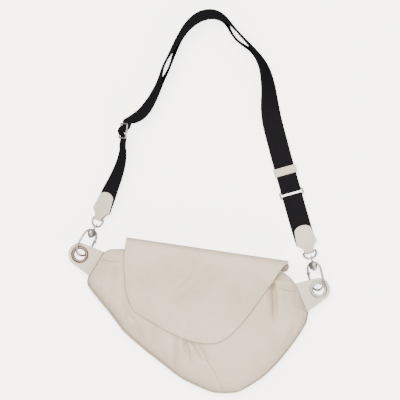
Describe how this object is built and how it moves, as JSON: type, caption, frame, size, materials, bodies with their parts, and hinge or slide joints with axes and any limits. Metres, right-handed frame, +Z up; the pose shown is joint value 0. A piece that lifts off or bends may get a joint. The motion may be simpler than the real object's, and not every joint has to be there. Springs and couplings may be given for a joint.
{
  "type": "belt bag",
  "caption": "Soft pale leather belt bag with a slanted front flap, end tabs with metal eyelets and a dark webbing strap on oval snap hooks.",
  "frame": {"origin": "middle of the whole footprint, on the floor that the bag's back lies on", "axes": "+Z up out of the bag's front, +Y from the bag towards the far end of its strap, +X along the fold of the flap to the viewer's right in the picture's direction"},
  "size_m": [0.4062, 0.5856, 0.0618],
  "materials": {
    "front_panel": "soft pebbled leather",
    "back_panel": "soft pebbled leather",
    "front_lining": "matt woven lining",
    "back_lining": "matt woven lining",
    "slip_pocket": "matt woven lining",
    "piping": "turned leather edge",
    "back_yoke": "soft pebbled leather",
    "flap_fold": "soft pebbled leather",
    "zip_tape_front": "woven zip tape",
    "zip_tape_back": "woven zip tape",
    "zip_teeth_front": "plated, softly polished",
    "zip_teeth_back": "plated, softly polished",
    "zip_stop_bottom": "plated, softly polished",
    "zip_stop_front": "plated, softly polished",
    "zip_stop_back": "plated, softly polished",
    "snap_socket": "plated, softly polished",
    "tab_left_front": "soft pebbled leather",
    "tab_left_back": "soft pebbled leather",
    "eyelet_left": "plated, softly polished",
    "washer_left": "plated, softly polished",
    "tab_right_front": "soft pebbled leather",
    "tab_right_back": "soft pebbled leather",
    "eyelet_right": "plated, softly polished",
    "washer_right": "plated, softly polished",
    "flap_leather": "soft pebbled leather",
    "flap_lining": "matt woven lining",
    "snap_stud": "plated, softly polished",
    "zip_slider": "plated, softly polished",
    "zip_pull": "plated, softly polished",
    "cap_left": "soft pebbled leather",
    "cap_right": "soft pebbled leather",
    "dring_left": "plated, softly polished",
    "dring_right": "plated, softly polished",
    "swivel_eye_left": "plated, softly polished",
    "swivel_eye_right": "plated, softly polished",
    "long_webbing": "ribbed black webbing",
    "short_webbing": "ribbed black webbing",
    "adjuster": "plated, softly polished",
    "rect_ring": "plated, softly polished",
    "hook_left": "plated, softly polished",
    "gate_pin_left": "plated, softly polished",
    "hook_right": "plated, softly polished",
    "gate_pin_right": "plated, softly polished",
    "gate_left": "plated, softly polished",
    "gate_right": "plated, softly polished",
    "keeper": "soft pebbled leather"
  },
  "bodies": {
    "bag": {"front_panel": "front_panel", "back_panel": "back_panel", "front_lining": "front_lining", "back_lining": "back_lining", "slip_pocket": "slip_pocket", "piping": "piping", "back_yoke": "back_yoke", "flap_fold": "flap_fold", "zip_tape_front": "zip_tape_front", "zip_tape_back": "zip_tape_back", "zip_teeth_front": "zip_teeth_front", "zip_teeth_back": "zip_teeth_back", "zip_stop_bottom": "zip_stop_bottom", "zip_stop_front": "zip_stop_front", "zip_stop_back": "zip_stop_back", "snap_socket": "snap_socket", "tab_left_front": "tab_left_front", "tab_left_back": "tab_left_back", "eyelet_left": "eyelet_left", "washer_left": "washer_left", "tab_right_front": "tab_right_front", "tab_right_back": "tab_right_back", "eyelet_right": "eyelet_right", "washer_right": "washer_right"},
    "flap": {"flap_leather": "flap_leather", "flap_lining": "flap_lining", "snap_stud": "snap_stud"},
    "slider": {"zip_slider": "zip_slider"},
    "puller": {"zip_pull": "zip_pull"},
    "strap": {"cap_left": "cap_left", "cap_right": "cap_right", "dring_left": "dring_left", "dring_right": "dring_right", "swivel_eye_left": "swivel_eye_left", "swivel_eye_right": "swivel_eye_right", "long_webbing": "long_webbing", "short_webbing": "short_webbing", "adjuster": "adjuster", "rect_ring": "rect_ring"},
    "link_left": {"hook_left": "hook_left", "gate_pin_left": "gate_pin_left"},
    "link_right": {"hook_right": "hook_right", "gate_pin_right": "gate_pin_right"},
    "gate_left": {"gate_left": "gate_left"},
    "gate_right": {"gate_right": "gate_right"},
    "keeper": {"keeper": "keeper"}
  },
  "joints": [
    {"name": "flap_hinge", "type": "hinge", "parent": "bag", "child": "flap", "pos_m": [0.00003, -0.08627, 0.0367], "axis": [-1, 0, 0], "range_deg": [0, 150]},
    {"name": "zip_travel", "type": "slide", "parent": "bag", "child": "slider", "axis": [-1, 0, 0], "range_m": [0, 0.21]},
    {"name": "puller_swing", "type": "hinge", "parent": "slider", "child": "puller", "pos_m": [0.10603, -0.08947, 0.014], "axis": [0, 0, -1], "range_deg": [0, 170]},
    {"name": "strap_lift", "type": "hinge", "parent": "bag", "child": "strap", "pos_m": [0.00003, -0.09999, 0.012], "axis": [1, 0, 0], "range_deg": [0, 90]},
    {"name": "swivel_left", "type": "hinge", "parent": "strap", "child": "link_left", "pos_m": [-0.18059, -0.09999, 0.012], "axis": [0.3584, 0.9336, 0], "range_deg": [0, 27]},
    {"name": "swivel_right", "type": "hinge", "parent": "strap", "child": "link_right", "pos_m": [0.18065, -0.09999, 0.012], "axis": [0.3584, -0.9336, 0], "range_deg": [0, 27]},
    {"name": "gate_left_hinge", "type": "hinge", "parent": "link_left", "child": "gate_left", "pos_m": [-0.16616, -0.09011, 0.00424], "axis": [-0.5748, 0.2206, -0.788], "range_deg": [0, 14], "stiffness_Nm_per_rad": 0.02, "springref_deg": -8.59},
    {"name": "gate_right_hinge", "type": "hinge", "parent": "link_right", "child": "gate_right", "pos_m": [0.16622, -0.09011, 0.00424], "axis": [-0.5748, -0.2206, 0.788], "range_deg": [0, 14], "stiffness_Nm_per_rad": 0.02, "springref_deg": -8.59},
    {"name": "keeper_slide", "type": "slide", "parent": "strap", "child": "keeper", "axis": [0.408, -0.913, 0], "range_m": [-0.014, 0.01]}
  ],
  "couplings": [
    {"joint": "swivel_left", "follows": "strap_lift", "ratio": 0.3},
    {"joint": "swivel_right", "follows": "strap_lift", "ratio": 0.3}
  ]
}
